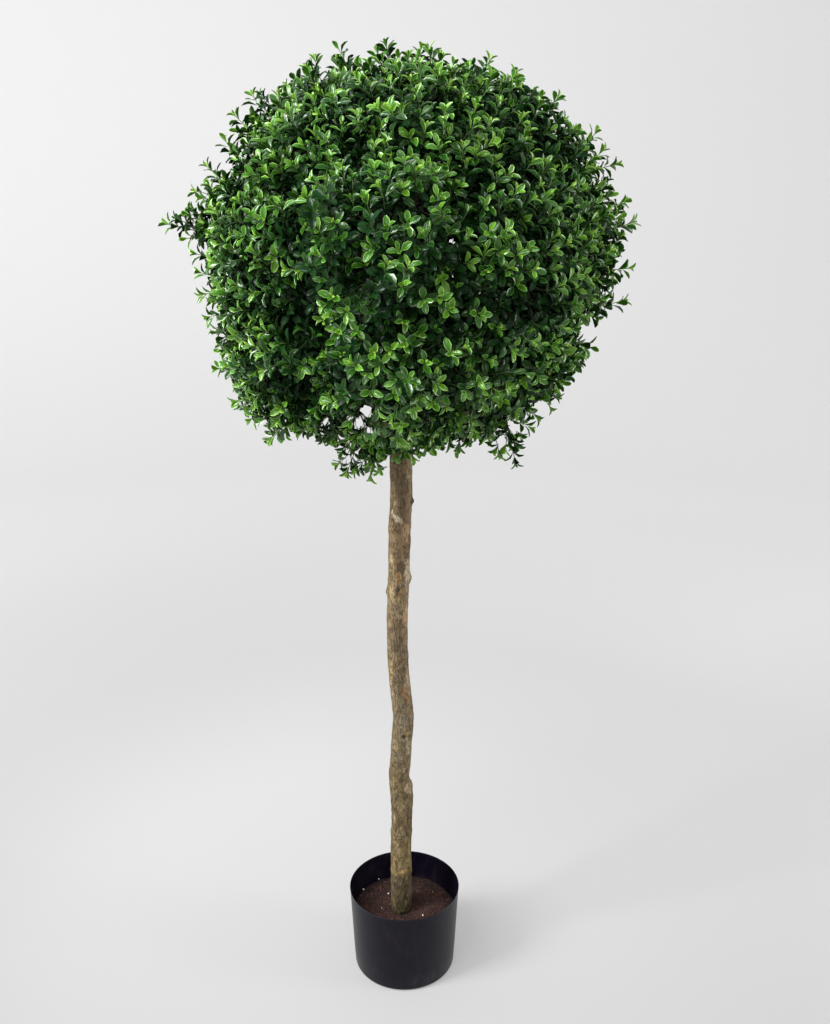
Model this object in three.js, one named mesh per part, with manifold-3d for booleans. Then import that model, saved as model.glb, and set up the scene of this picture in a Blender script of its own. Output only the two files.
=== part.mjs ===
// A ball-headed box topiary on a bare stem: an artificial tree in a plastic nursery pot.
// Millimetres, +Z up, -Y is the front. The origin is the centre of the pot's flat underside.
import * as THREE from "three";
import { mergeVertices } from "three/addons/utils/BufferGeometryUtils.js";
import Module from "manifold-3d";

const wasm = await Module();
wasm.setup();

// ---------- driving dimensions ----------
const SEAT_GAP = 0.3; // left between two pieces that touch

const POT = {
  height: 152,
  rimRadius: 95,
  baseRadius: 87.2,
  wall: 1.8,
  floor: 3,
  footRound: 5,
  lip: 1, // how far the rolled lip stands out of the wall
  lipHeight: 4,
  sides: 40,
};

const SOIL = { level: 104, heave: 2, sides: 28, seatRadius: 22 };

const TRUNK = {
  footRadius: 17.8,
  headRadius: 17,
  oval: 0.4,
  lean: -5.5, // the whole stem stands this far left of the pot's centre
  top: 1236,
  sides: 14,
  bareStep: 19, // between rings below the crown
  hiddenStep: 36, // between rings inside the crown
};

// Each bend pushes the stem's centre line aside near one height.
const BENDS = [
  { height: 296, aside: 1.5, back: 0, reach: 40 },
  { height: 366, aside: -2.5, back: 1, reach: 28 },
  { height: 480, aside: 5, back: -2, reach: 45 },
  { height: 635, aside: -4.5, back: 3, reach: 95 },
  { height: 890, aside: 3, back: -1, reach: 65 },
];

// Each knot or pruning scar swells the bark on one side. Its turn is in degrees from the right.
const KNOTS = [
  { height: 168, turn: -85, rise: 1.4, reach: 11 },
  { height: 335, turn: -12, rise: 2.8, reach: 19 },
  { height: 446, turn: -62, rise: 1.2, reach: 10 },
  { height: 678, turn: -80, rise: 1.3, reach: 13 },
  { height: 712, turn: 176, rise: 2.4, reach: 12 },
  { height: 728, turn: -8, rise: 2.2, reach: 14 },
  { height: 816, turn: 190, rise: 1.4, reach: 20 },
  { height: 853, turn: -4, rise: 3.2, reach: 8 },
];

const CROWN = {
  centre: new THREE.Vector3(13, 0, 1225),
  halfWidth: 298,
  rise: 281,
  drop: 283,
  upperSquareness: 1.97, // 2 is an ellipse, and more is boxier
  lowerSquareness: 2.5,
  lopside: 0.06, // the underside is fuller on the left by this share
  depth: 86, // thickness of a mass, from its leaf tips to the bare core
  shoulder: 0.7, // how soon a mass reaches its full width; 1 is a ball's
  flatness: 0.62, // how flat its outer and inner faces are; 1 is a ball's
  groove: 7, // between neighbouring masses
  unevenness: 9,
  unevenScale: 9, // ripples per radian, about
  sway: 0.11, // how far the grooves wander, in radians
  swayScale: 3,
  jitter: 0.07, // how far a mass's middle strays from its place in the ring
  trunkClearance: 5,
};

// Where the ball's outline, seen from the front and a little above, stands out or falls in. Each place is in
// degrees clockwise from the top of the outline, and so is its reach.
const SWELLS = [
  { around: 0, rise: -24, reach: 10 },
  { around: 38, rise: -13, reach: 14 },
  { around: 70, rise: 22, reach: 9 },
  { around: 103, rise: 16, reach: 7 },
  { around: 122, rise: -29, reach: 8 },
  { around: 149, rise: 34, reach: 7 },
  { around: 166, rise: -27, reach: 7 },
  { around: 202, rise: -25, reach: 8 },
  { around: 220, rise: 29, reach: 11 },
  { around: 284, rise: 26, reach: 9 },
  { around: 305, rise: 27, reach: 6 },
  { around: 335, rise: 19, reach: 6 },
  { around: 346, rise: -14, reach: 6 },
];
const OUTLINE = { down: 17.6, near: 10.8 }; // how far the view looks down, and how far the outline lies before the centre

const MASS = { rings: 7, sides: 14, reference: new THREE.Vector3(0.31, 0.17, 0.93) };

// Rings of masses round the ball, from the top. Latitude and turn are in degrees.
const RINGS = [
  { name: "top", count: 1, latitude: 88, turn: 0, boughHeight: 1236 },
  { name: "upper", count: 5, latitude: 43, turn: -75, boughHeight: 1205 },
  { name: "middle", count: 7, latitude: 4, turn: -100, boughHeight: 1166 },
  { name: "lower", count: 6, latitude: -36, turn: -87, boughHeight: 1124 },
  { name: "bottom", count: 3, latitude: -72, turn: -50, boughHeight: 1080 },
];

const BOUGH = {
  rootRadius: 4.6,
  tipRadius: 3,
  intoMass: 14,
  spread: 9, // boughs of one ring leave the trunk this far above or below the ring's height
  bend: 27, // how far a bough bows outward
  bendPlace: 0.35, // along its length
  sides: 6,
  steps: 5,
  reference: new THREE.Vector3(0.13, 0.05, 0.99),
};

// Sprays that stand clear of the ball's outline. Each grows out of the masses behind it to its tip.
const TUFTS = [
  { name: "left", root: [-262, -40, 1264], tip: [-340, -20, 1268], width: 30 },
  { name: "low_left", root: [-36, -62, 980], tip: [-76, -62, 911], width: 34 },
  { name: "low_right", root: [134, -62, 992], tip: [169, -66, 922], width: 25 },
];
const TUFT = { rings: 6, sides: 9, unevenness: 0.16, reference: new THREE.Vector3(0.2, 0.9, 0.4) };

// ---------- materials ----------
const finish = (color, roughness) => new THREE.MeshStandardMaterial({ color, roughness, metalness: 0 });
const BLACK_PLASTIC = finish(0x17171b, 0.42);
const COIR = finish(0x4a332b, 0.95);
const BARK = finish(0x7d6d55, 0.85);
const BOUGH_BARK = finish(0x3a3022, 0.85);
const LEAF = finish(0x2f6b2a, 0.45);

// ---------- small helpers ----------
const radians = THREE.MathUtils.degToRad;
const bell = (x, reach) => Math.exp(-((x / reach) ** 2));
const signedPower = (x, power) => Math.sign(x) * Math.abs(x) ** power;

function seededRandom(seed) {
  let state = seed;
  return () => {
    state = (state + 0x6d2b79f5) | 0;
    let mixed = Math.imul(state ^ (state >>> 15), 1 | state);
    mixed = (mixed + Math.imul(mixed ^ (mixed >>> 7), 61 | mixed)) ^ mixed;
    return ((mixed ^ (mixed >>> 14)) >>> 0) / 4294967296;
  };
}

// A smooth uneven value between about -1 and 1 for any point.
function ripple(p, scale, phase) {
  const a = Math.sin(p.x * scale + p.y * scale * 0.6 + phase);
  const b = Math.sin(p.y * scale * 1.3 - p.z * scale * 0.8 + phase * 2.1);
  const c = Math.sin(p.z * scale * 1.1 + p.x * scale * 0.5 + phase * 3.7);
  return (a + b + c) / 3;
}

// Points round a centre, in the plane square to a direction. The reference only sets where the ring starts.
function ringRound(centre, direction, reference, sides, radiusAt) {
  const across = reference.clone().cross(direction).normalize();
  const along = direction.clone().cross(across);
  return Array.from({ length: sides }, (_, side) => {
    const turn = (side / sides) * Math.PI * 2;
    const radius = radiusAt(turn);
    return centre
      .clone()
      .addScaledVector(across, radius * Math.cos(turn))
      .addScaledVector(along, radius * Math.sin(turn));
  });
}

// Closes a stack of rings, each running anticlockwise seen from the head, with a point at each end.
function skin(foot, rings, head) {
  const sides = rings[0].length;
  const points = [foot, ...rings.flat(), head];
  const last = points.length - 1;
  const at = (ring, side) => 1 + ring * sides + (side % sides);
  const faces = [];
  for (let side = 0; side < sides; side++) {
    faces.push(0, at(0, side + 1), at(0, side));
    for (let ring = 0; ring < rings.length - 1; ring++) {
      const [a, b] = [at(ring, side), at(ring, side + 1)];
      const [c, d] = [at(ring + 1, side + 1), at(ring + 1, side)];
      faces.push(a, b, c, a, c, d);
    }
    faces.push(last, at(rings.length - 1, side), at(rings.length - 1, side + 1));
  }
  return new THREE.BufferGeometry().setFromPoints(points).setIndex(faces);
}

function solidOf(geometry) {
  const bare = geometry.clone();
  bare.deleteAttribute("normal");
  bare.deleteAttribute("uv");
  const merged = mergeVertices(bare, 1e-3);
  const vertProperties = merged.attributes.position.array;
  const triVerts = new Uint32Array(merged.index.array);
  return new wasm.Manifold(new wasm.Mesh({ numProp: 3, vertProperties, triVerts }));
}

function geometryOf(solid) {
  const mesh = solid.getMesh();
  const positions = new THREE.BufferAttribute(new Float32Array(mesh.vertProperties), 3);
  const index = new THREE.BufferAttribute(new Uint32Array(mesh.triVerts), 1);
  return new THREE.BufferGeometry().setAttribute("position", positions).setIndex(index);
}

function node(name, geometry, material) {
  geometry.computeVertexNormals();
  const mesh = new THREE.Mesh(geometry, material);
  mesh.name = name;
  return mesh;
}

// ---------- pot and soil ----------
const wallRadius = (z) =>
  THREE.MathUtils.lerp(POT.baseRadius, POT.rimRadius - POT.lip, z / POT.height);

// A profile of (radius, height) points turned about the upright axis.
function turned(profile, sides) {
  const points = profile.map(([radius, z]) => new THREE.Vector2(radius, z));
  return new THREE.LatheGeometry(points, sides).rotateX(Math.PI / 2);
}

function potGeometry() {
  const { height, baseRadius, wall, floor, footRound, rimRadius, lipHeight } = POT;
  const foot = [0, 1, 2, 3].map((step) => {
    const turn = radians(step * 30);
    return [
      baseRadius - footRound + footRound * Math.sin(turn),
      footRound - footRound * Math.cos(turn),
    ];
  });
  const lip = [
    [wallRadius(height - lipHeight), height - lipHeight],
    [rimRadius, height - lipHeight * 0.7],
    [rimRadius, height - lipHeight * 0.25],
    [rimRadius - wall * 0.5, height],
    [wallRadius(height) - wall, height - lipHeight * 0.25],
  ];
  const inside = [[wallRadius(floor) - wall - footRound / 2, floor]];
  return turned([[0, 0], ...foot, ...lip, [wallRadius(footRound) - wall, footRound], ...inside, [0, floor]], POT.sides);
}

function soilGeometry() {
  const inner = (z) => wallRadius(z) - POT.wall - SEAT_GAP * 2;
  const bottom = POT.floor + SEAT_GAP;
  const radii = [inner(SOIL.level), 78, 62, 46, 32, SOIL.seatRadius];
  const ringAt = (radius, height) =>
    Array.from({ length: SOIL.sides }, (_, side) => {
      const turn = (side / SOIL.sides) * Math.PI * 2;
      const point = new THREE.Vector3(radius * Math.cos(turn), radius * Math.sin(turn), 0);
      const loose = radius > SOIL.seatRadius ? SOIL.heave * ripple(point, 0.05, 1.3) : 0;
      return point.setZ(height + loose);
    });
  const flatRing = (radius, height) => ringAt(radius, height).map((point) => point.setZ(height));
  const rings = [
    flatRing(inner(POT.footRound) - POT.footRound / 2 - 1, bottom),
    flatRing(inner(POT.footRound), POT.footRound + 1),
    ...radii.map((radius) => ringAt(radius, SOIL.level)),
  ];
  return skin(new THREE.Vector3(0, 0, bottom), rings, new THREE.Vector3(0, 0, SOIL.level));
}

// ---------- trunk ----------
function trunkCentre(z) {
  const aside = BENDS.reduce((sum, bend) => sum + bend.aside * bell(z - bend.height, bend.reach), TRUNK.lean);
  const back = BENDS.reduce((sum, bend) => sum + bend.back * bell(z - bend.height, bend.reach), 0);
  return new THREE.Vector3(aside, back, z);
}

function trunkRadius(z, turn) {
  const along = (z - SOIL.level) / (TRUNK.top - SOIL.level);
  const round = THREE.MathUtils.lerp(TRUNK.footRadius, TRUNK.headRadius, along);
  const knots = KNOTS.reduce((sum, knot) => {
    const swing = Math.atan2(Math.sin(turn - radians(knot.turn)), Math.cos(turn - radians(knot.turn)));
    return sum + knot.rise * bell(z - knot.height, knot.reach) * bell(swing * round, knot.reach * 1.2);
  }, 0);
  return round + knots + TRUNK.oval * Math.sin(2 * turn + z / 140);
}

function trunkGeometry(grow = 0) {
  const foot = SOIL.level + SEAT_GAP - grow;
  const bareTop = CROWN.centre.z - CROWN.drop + CROWN.depth;
  const heights = [];
  for (let z = foot; z < bareTop; z += TRUNK.bareStep) heights.push(z);
  for (let z = bareTop; z < TRUNK.top; z += TRUNK.hiddenStep) heights.push(z);
  heights.push(TRUNK.top + grow);
  const rings = heights.map((z) => {
    const centre = trunkCentre(z);
    return Array.from({ length: TRUNK.sides }, (_, side) => {
      const turn = (side / TRUNK.sides) * Math.PI * 2;
      const radius = trunkRadius(z, turn) + grow;
      return new THREE.Vector3(centre.x + radius * Math.cos(turn), centre.y + radius * Math.sin(turn), z);
    });
  });
  return skin(trunkCentre(foot), rings, trunkCentre(heights.at(-1)));
}

// ---------- crown ----------
const random = seededRandom(41);

function ringPlaces({ name, count, latitude, turn, boughHeight }) {
  return Array.from({ length: count }, (_, step) => {
    const strayed = count > 1 ? CROWN.jitter : 0;
    const azimuth = radians(turn + (360 / count) * step) + strayed * (random() * 2 - 1);
    const upward = radians(latitude) + strayed * (random() * 2 - 1);
    const axis = new THREE.Vector3(
      Math.cos(upward) * Math.cos(azimuth),
      Math.cos(upward) * Math.sin(azimuth),
      Math.sin(upward),
    );
    const boughFoot = boughHeight + (count > 1 ? BOUGH.spread * (random() * 2 - 1) : 0);
    return { name: count > 1 ? `${name}_${step + 1}` : name, axis, boughFoot };
  });
}

const PLACES = RINGS.flatMap(ringPlaces);

// Turns a place on the front outline into a unit direction from the crown's centre.
function outlineDirection(around) {
  const [turn, down, near] = [around, OUTLINE.down, OUTLINE.near].map(radians);
  const upward = new THREE.Vector3(0, Math.sin(down), Math.cos(down));
  const forward = new THREE.Vector3(0, Math.cos(down), -Math.sin(down));
  return new THREE.Vector3(Math.sin(turn), 0, 0)
    .addScaledVector(upward, Math.cos(turn))
    .multiplyScalar(Math.cos(near))
    .addScaledVector(forward, -Math.sin(near));
}

const SWELL_PLACES = SWELLS.map((swell) => ({ ...swell, direction: outlineDirection(swell.around) }));

// Distance from the crown's centre to its clipped outline, along a unit direction.
function crownReach(direction) {
  const level = Math.hypot(direction.x, direction.y) / CROWN.halfWidth;
  const upright = Math.abs(direction.z) / (direction.z > 0 ? CROWN.rise : CROWN.drop);
  const power = direction.z > 0 ? CROWN.upperSquareness : CROWN.lowerSquareness;
  const lopsided = 1 - CROWN.lopside * direction.x * Math.max(0, -direction.z);
  const swollen = SWELL_PLACES.reduce(
    (sum, swell) => sum + swell.rise * bell(direction.angleTo(swell.direction), radians(swell.reach)),
    0,
  );
  return lopsided * (level ** power + upright ** power) ** (-1 / power) + swollen;
}

// The angle from a mass's axis to the groove round it, towards one side. The groove runs half way to each neighbour.
function grooveAngle(place, side) {
  const limits = PLACES.filter((other) => other !== place).map((other) => {
    const towards = side.dot(other.axis);
    return towards > 0 ? Math.atan2(1 - place.axis.dot(other.axis), towards) : Math.PI;
  });
  return Math.min(...limits);
}

// Moves directions about smoothly, so that the grooves wander. All masses share it, so they stay apart.
function swayed(direction) {
  const shift = new THREE.Vector3(
    ripple(direction, CROWN.swayScale, 0.4),
    ripple(direction, CROWN.swayScale, 1.9),
    ripple(direction, CROWN.swayScale, 3.2),
  );
  return direction.clone().addScaledVector(shift, CROWN.sway).normalize();
}

function massGeometry(place, grow = 0) {
  const across = MASS.reference.clone().cross(place.axis).normalize();
  const along = place.axis.clone().cross(across);
  const pointAt = (turn, down) => {
    const side = across.clone().multiplyScalar(Math.cos(turn)).addScaledVector(along, Math.sin(turn));
    const edge = grooveAngle(place, side) - (CROWN.groove / 2 - grow) / CROWN.halfWidth;
    const lean = edge * Math.sin(down) ** CROWN.shoulder;
    const straight = place.axis.clone().multiplyScalar(Math.cos(lean)).addScaledVector(side, Math.sin(lean));
    const direction = swayed(straight);
    const uneven = CROWN.unevenness * ripple(direction, CROWN.unevenScale, 0.7);
    const half = CROWN.depth / 2 + grow;
    const middle = crownReach(direction) + uneven + grow - half;
    return direction.multiplyScalar(middle + half * signedPower(Math.cos(down), CROWN.flatness)).add(CROWN.centre);
  };
  const rings = Array.from({ length: MASS.rings - 1 }, (_, ring) => {
    const down = Math.PI * (1 - (ring + 1) / MASS.rings);
    return Array.from({ length: MASS.sides }, (_, side) => pointAt((side / MASS.sides) * Math.PI * 2, down));
  });
  return skin(pointAt(0, Math.PI), rings, pointAt(0, 0));
}

// ---------- boughs ----------
function boughCurve(place) {
  const foot = trunkCentre(Math.min(place.boughFoot, TRUNK.top - BOUGH.rootRadius));
  const axis = swayed(place.axis);
  const tip = axis.clone().multiplyScalar(crownReach(axis) - CROWN.depth + BOUGH.intoMass).add(CROWN.centre);
  const outward = new THREE.Vector3(axis.x, axis.y, 0);
  const middle = foot.clone().lerp(tip, BOUGH.bendPlace).addScaledVector(outward, BOUGH.bend);
  return new THREE.QuadraticBezierCurve3(foot, middle, tip);
}

function boughGeometry(place) {
  const curve = boughCurve(place);
  const rings = Array.from({ length: BOUGH.steps + 1 }, (_, step) => {
    const share = step / BOUGH.steps;
    const radius = THREE.MathUtils.lerp(BOUGH.rootRadius, BOUGH.tipRadius, share);
    return ringRound(curve.getPoint(share), curve.getTangent(share), BOUGH.reference, BOUGH.sides, () => radius);
  });
  return skin(curve.getPoint(0), rings, curve.getPoint(1));
}

// ---------- tufts ----------
// Full where it leaves the ball, and rounded off towards its tip.
const tuftFullness = (share) => (1 - share ** 2.4) ** 0.7;

function tuftGeometry({ root, tip, width }) {
  const start = new THREE.Vector3(...root);
  const end = new THREE.Vector3(...tip);
  const outward = end.clone().sub(start).normalize();
  const rings = Array.from({ length: TUFT.rings }, (_, ring) => {
    const share = ring / TUFT.rings;
    const radiusAt = (turn) =>
      width * tuftFullness(share) * (1 + TUFT.unevenness * Math.sin(3 * turn + 5 * share));
    return ringRound(start.clone().lerp(end, share), outward, TUFT.reference, TUFT.sides, radiusAt);
  });
  return skin(start, rings, end);
}

// ---------- assembly ----------
const topiary = new THREE.Group();
topiary.add(node("pot", potGeometry(), BLACK_PLASTIC));
topiary.add(node("soil", soilGeometry(), COIR));
topiary.add(node("trunk", trunkGeometry(), BARK));

const trunkHollow = solidOf(trunkGeometry(CROWN.trunkClearance));
const trunkSeat = solidOf(trunkGeometry(SEAT_GAP));
const massSeats = new Map();

for (const place of PLACES) {
  const mass = solidOf(massGeometry(place)).subtract(trunkHollow);
  topiary.add(node(`mass_${place.name}`, geometryOf(mass), LEAF));
  massSeats.set(place.name, solidOf(massGeometry(place, SEAT_GAP)));
}

for (const place of PLACES) {
  const bough = solidOf(boughGeometry(place)).subtract(trunkSeat).subtract(massSeats.get(place.name));
  topiary.add(node(`bough_${place.name}`, geometryOf(bough), BOUGH_BARK));
}

for (const tuft of TUFTS) {
  let shape = solidOf(tuftGeometry(tuft));
  for (const seat of massSeats.values()) shape = shape.subtract(seat);
  const outermost = shape.decompose().reduce((most, piece) => (piece.volume() > most.volume() ? piece : most));
  topiary.add(node(`tuft_${tuft.name}`, geometryOf(outermost), LEAF));
}

export default topiary;
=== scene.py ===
import math
import random

import bmesh
import bpy
import numpy as np
from mathutils import Matrix, Vector, noise


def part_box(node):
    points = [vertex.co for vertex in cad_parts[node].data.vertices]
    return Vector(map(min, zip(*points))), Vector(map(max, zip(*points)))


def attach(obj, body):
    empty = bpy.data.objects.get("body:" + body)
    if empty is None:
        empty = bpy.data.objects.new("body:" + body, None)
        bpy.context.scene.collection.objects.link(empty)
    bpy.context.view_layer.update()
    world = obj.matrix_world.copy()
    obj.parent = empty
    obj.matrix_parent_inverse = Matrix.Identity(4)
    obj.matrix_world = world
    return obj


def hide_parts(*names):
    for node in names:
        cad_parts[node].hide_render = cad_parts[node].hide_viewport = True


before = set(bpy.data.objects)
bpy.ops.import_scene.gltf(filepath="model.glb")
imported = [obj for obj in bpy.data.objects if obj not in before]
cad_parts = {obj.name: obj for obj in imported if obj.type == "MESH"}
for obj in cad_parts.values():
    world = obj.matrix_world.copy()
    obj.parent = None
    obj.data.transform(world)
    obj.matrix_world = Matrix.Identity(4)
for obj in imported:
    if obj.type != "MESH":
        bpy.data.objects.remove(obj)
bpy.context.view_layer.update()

MM = 0.001
UP = Vector((0, 0, 1))
BODY = "root"

# ---------- sizes, in metres ----------
POT_WALL = 1.7 * MM
POT_FLOOR = 3 * MM
POT_CORNER = 9 * MM  # where the wall turns into the floor on the inside
POT_FOOT_ROUND = 7 * MM
POT_FOOT_RING = 20 * MM  # the width of the ring that the pot stands on
POT_UNDER = (22 * MM, 1.2 * MM)  # how far in, and how high, the middle of the underside lies
POT_RIM_BEAD = 0.35 * MM
POT_STEPS = 128

SOIL_STEPS = 96
SOIL_RINGS = 34
SOIL_SIDE = 12 * MM  # how far the soil's straight side goes down
SOIL_HEAVE = 3.4 * MM
# Waves in the soil's top: how many there are in a metre, what picks their pattern, and their height.
SOIL_WAVES = [(28, 4.2, SOIL_HEAVE), (170, 9.1, 1.2 * MM), (480, 2.7, 0.8 * MM)]
CRUMB_COUNT = 2200
CRUMB_SIZES = (0.8, 4.2, 1.5)  # least, most and commonest, in mm
CRUMB_REACH = 0.97  # the share of the soil's radius that they lie on
CRUMB_TONES = [(38, 25, 23), (66, 44, 38), (96, 67, 56), (238, 235, 230)]
CRUMB_MIX = (0, 0, 1, 1, 2)  # how often each brown is picked
WHITE_CRUMB = 3
# Where the white grains lie on the soil, and their size, in mm.
WHITE_GRAINS = [
    (-29, 38, 3.4), (32, -22, 3.6), (-40, 0, 2.2), (-47, 78, 3.8), (-74, 48, 3.8), (51, 44, 1.6),
    (8, 61, 1.6),
]

TRUNK_SUNK = 7 * MM  # how far the stem's foot goes on below the top of the soil

LEAF_LENGTH = 18.5 * MM
LEAF_WIDTH = 8.9 * MM
TIP_DEPTH = 5 * MM  # how far a spray's tip stays inside its mass's outline
STEM_RADIUS = 0.75 * MM
TWIG_RADIUS = 2.0 * MM


# ---------- camera ----------
CAMERA_PLACE = Vector((0, -1.5523, 1.3282))
CAMERA_DOWN = math.radians(17.637)
CAMERA_RIGHT = math.radians(0.683)
CAMERA_LENS = 36.9
CAMERA_SENSOR = 36  # along the frame's long side


def add_camera():
    data = bpy.data.cameras.new("camera")
    data.sensor_width = CAMERA_SENSOR
    data.lens = CAMERA_LENS
    camera = bpy.data.objects.new("camera", data)
    camera.location = CAMERA_PLACE
    camera.rotation_euler = (math.pi / 2 - CAMERA_DOWN, 0, -CAMERA_RIGHT)
    bpy.context.collection.objects.link(camera)
    bpy.context.scene.camera = camera


add_camera()


# ---------- shader helpers ----------
# Where a Mix node keeps its share and its colours.
MIX_SHARE, MIX_FIRST, MIX_SECOND, MIX_RESULT = 0, 6, 7, 2


class Socket:
    """One output of a shader node, or a number, that Python's operators can work on."""

    def __init__(self, tree, link):
        self.tree = tree
        self.link = link

    def _math(self, operation, first, second):
        node = self.tree.nodes.new("ShaderNodeMath")
        node.operation = operation
        for place, value in enumerate((first, second)):
            plug(self.tree, node.inputs[place], value)
        return Socket(self.tree, node.outputs[0])

    def __add__(self, other):
        return self._math("ADD", self, other)

    def __radd__(self, other):
        return self._math("ADD", other, self)

    def __sub__(self, other):
        return self._math("SUBTRACT", self, other)

    def __rsub__(self, other):
        return self._math("SUBTRACT", other, self)

    def __mul__(self, other):
        return self._math("MULTIPLY", self, other)

    def __rmul__(self, other):
        return self._math("MULTIPLY", other, self)

    def __pow__(self, other):
        return self._math("POWER", self, other)

    def away_from(self, level):
        """How far the value is from a level, either way."""
        return self._math("MAXIMUM", self - level, level - self)


def plug(tree, entry, value):
    if isinstance(value, Socket):
        tree.links.new(value.link, entry)
    else:
        entry.default_value = value


class Finish:
    """A material under construction, with its node tree and its main shader."""

    def __init__(self, name, **constants):
        self.material = bpy.data.materials.new(name)
        self.material.use_nodes = True
        self.tree = self.material.node_tree
        self.shader = self.tree.nodes["Principled BSDF"]
        for entry, value in constants.items():
            self.feed(entry.replace("_", " "), value)

    def feed(self, entry, value):
        if isinstance(value, tuple) and len(value) == 3:
            value = (*value, 1)
        plug(self.tree, self.shader.inputs[entry], value)

    def node(self, kind, settings=None, entries=None, output=0):
        made = self.tree.nodes.new(kind)
        for name, value in (settings or {}).items():
            setattr(made, name, value)
        for name, value in (entries or {}).items():
            plug(self.tree, made.inputs[name], value)
        return Socket(self.tree, made.outputs[output])

    def place(self, scale=(1, 1, 1)):
        point = self.node("ShaderNodeTexCoord", output="Object")
        return self.node("ShaderNodeMapping", entries={"Vector": point, "Scale": scale})

    def noise(self, size, detail=4, roughness=0.55, stretch=(1, 1, 1), distortion=0):
        """A value of 0 to 1 whose patches are about size metres across."""
        entries = {
            "Vector": self.place(stretch),
            "Scale": 1 / size,
            "Detail": detail,
            "Roughness": roughness,
            "Distortion": distortion,
        }
        return self.node("ShaderNodeTexNoise", entries=entries, output="Fac")

    def axis(self, name):
        point = self.node("ShaderNodeTexCoord", output="Object")
        return self.node("ShaderNodeSeparateXYZ", entries={"Vector": point}, output=name)

    def height(self):
        return self.axis("Z")

    def from_axis(self):
        """The distance from the upright middle line."""
        return (self.axis("X") ** 2 + self.axis("Y") ** 2) ** 0.5

    def step(self, value, low, high):
        """0 below low, 1 above high, and smooth between."""
        entries = {"Value": value, "From Min": low, "From Max": high}
        return self.node("ShaderNodeMapRange", {"interpolation_type": "SMOOTHSTEP"}, entries)

    def blend(self, share, first, second):
        """The first colour where share is 0 and the second where it is 1."""
        first, second = ((*c, 1) if isinstance(c, tuple) else c for c in (first, second))
        entries = {MIX_SHARE: share, MIX_FIRST: first, MIX_SECOND: second}
        return self.node("ShaderNodeMix", {"data_type": "RGBA"}, entries, output=MIX_RESULT)

    def cover(self, colour, pattern, low, high, share, shade):
        """Lays a shade over a colour, at most by share, where a pattern rises from low to high."""
        return self.blend(self.step(pattern, low, high) * share, colour, tone(*shade))

    def spot(self, centre, reach, ragged, edge=0.2):
        """1 inside a rounded spot and 0 outside. Ragged goes up and down round 0 along its outline."""
        entries = {
            "Vector": self.node("ShaderNodeTexCoord", output="Object"),
            "Location": [-place / side for place, side in zip(centre, reach)],
            "Scale": [1 / side for side in reach],
        }
        local = self.node("ShaderNodeMapping", entries=entries)
        away = self.node("ShaderNodeVectorMath", {"operation": "LENGTH"}, {0: local}, output="Value")
        return 1 - self.step(away + ragged, 1 - edge, 1 + edge)

    def bump(self, height, strength, distance):
        entries = {"Height": height, "Strength": strength, "Distance": distance}
        self.feed("Normal", self.node("ShaderNodeBump", entries=entries))


def tone(red, green, blue):
    """A colour given as screen values of 0 to 255, as the linear light that shaders use."""
    return tuple(
        c / 12.92 if c <= 0.04045 else ((c + 0.055) / 1.055) ** 2.4
        for c in (red / 255, green / 255, blue / 255)
    )


# ---------- mesh helpers ----------
def finish_piece(name, mesh, materials, replaced=(), smooth=True):
    """Makes a piece of the object from a mesh that is already in place."""
    for material in materials:
        mesh.materials.append(material)
    mesh.polygons.foreach_set("use_smooth", [smooth] * len(mesh.polygons))
    piece = bpy.data.objects.new(name, mesh)
    bpy.context.collection.objects.link(piece)
    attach(piece, BODY)
    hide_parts(*replaced)
    return piece


def mesh_from(bm, name):
    mesh = bpy.data.meshes.new(name)
    bm.to_mesh(mesh)
    bm.free()
    return mesh


def mesh_from_arrays(name, points, triangles, slots):
    mesh = bpy.data.meshes.new(name)
    mesh.vertices.add(len(points))
    mesh.vertices.foreach_set("co", points.astype(np.float32).ravel())
    mesh.loops.add(triangles.size)
    mesh.loops.foreach_set("vertex_index", triangles.astype(np.int32).ravel())
    mesh.polygons.add(len(triangles))
    mesh.polygons.foreach_set("loop_start", np.arange(0, triangles.size, 3, dtype=np.int32))
    mesh.polygons.foreach_set("material_index", slots.astype(np.int32))
    mesh.update(calc_edges=True)
    return mesh


def lathe(profile, steps):
    """A shape turned about the upright axis from a profile of (radius, height) that starts on it."""
    bm = bmesh.new()
    points = [bm.verts.new((radius, 0, z)) for radius, z in profile]
    turned = points + [bm.edges.new(pair) for pair in zip(points, points[1:])]
    bmesh.ops.spin(bm, geom=turned, axis=UP, angle=math.tau, steps=steps, use_merge=True)
    bmesh.ops.remove_doubles(bm, verts=bm.verts, dist=1e-6)
    bmesh.ops.recalc_face_normals(bm, faces=bm.faces)
    return bm


def arc(centre, radius, start, end, steps):
    """Points of a profile along an arc, with its turns in degrees."""
    turns = [math.radians(start + (end - start) * step / steps) for step in range(steps + 1)]
    return [(centre[0] + radius * math.cos(t), centre[1] + radius * math.sin(t)) for t in turns]


def widest(node, low, high):
    """The largest distance from the upright axis of a node's own shape between two heights."""
    points = [vert.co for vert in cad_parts[node].data.vertices]
    return max(math.hypot(point.x, point.y) for point in points if low <= point.z <= high)


# ---------- pot ----------
pot_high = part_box("pot")[1]
soil_low, soil_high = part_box("soil")
trunk_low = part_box("trunk")[0]
RIM_RADIUS = pot_high.x
BASE_RADIUS = widest("pot", 0, POT_FOOT_ROUND)
POT_BLACK = tone(6, 3, 15)
POT_DUST = tone(84, 79, 88)
DUST_HEIGHT = 50 * MM  # dust lies thicker below this


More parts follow.
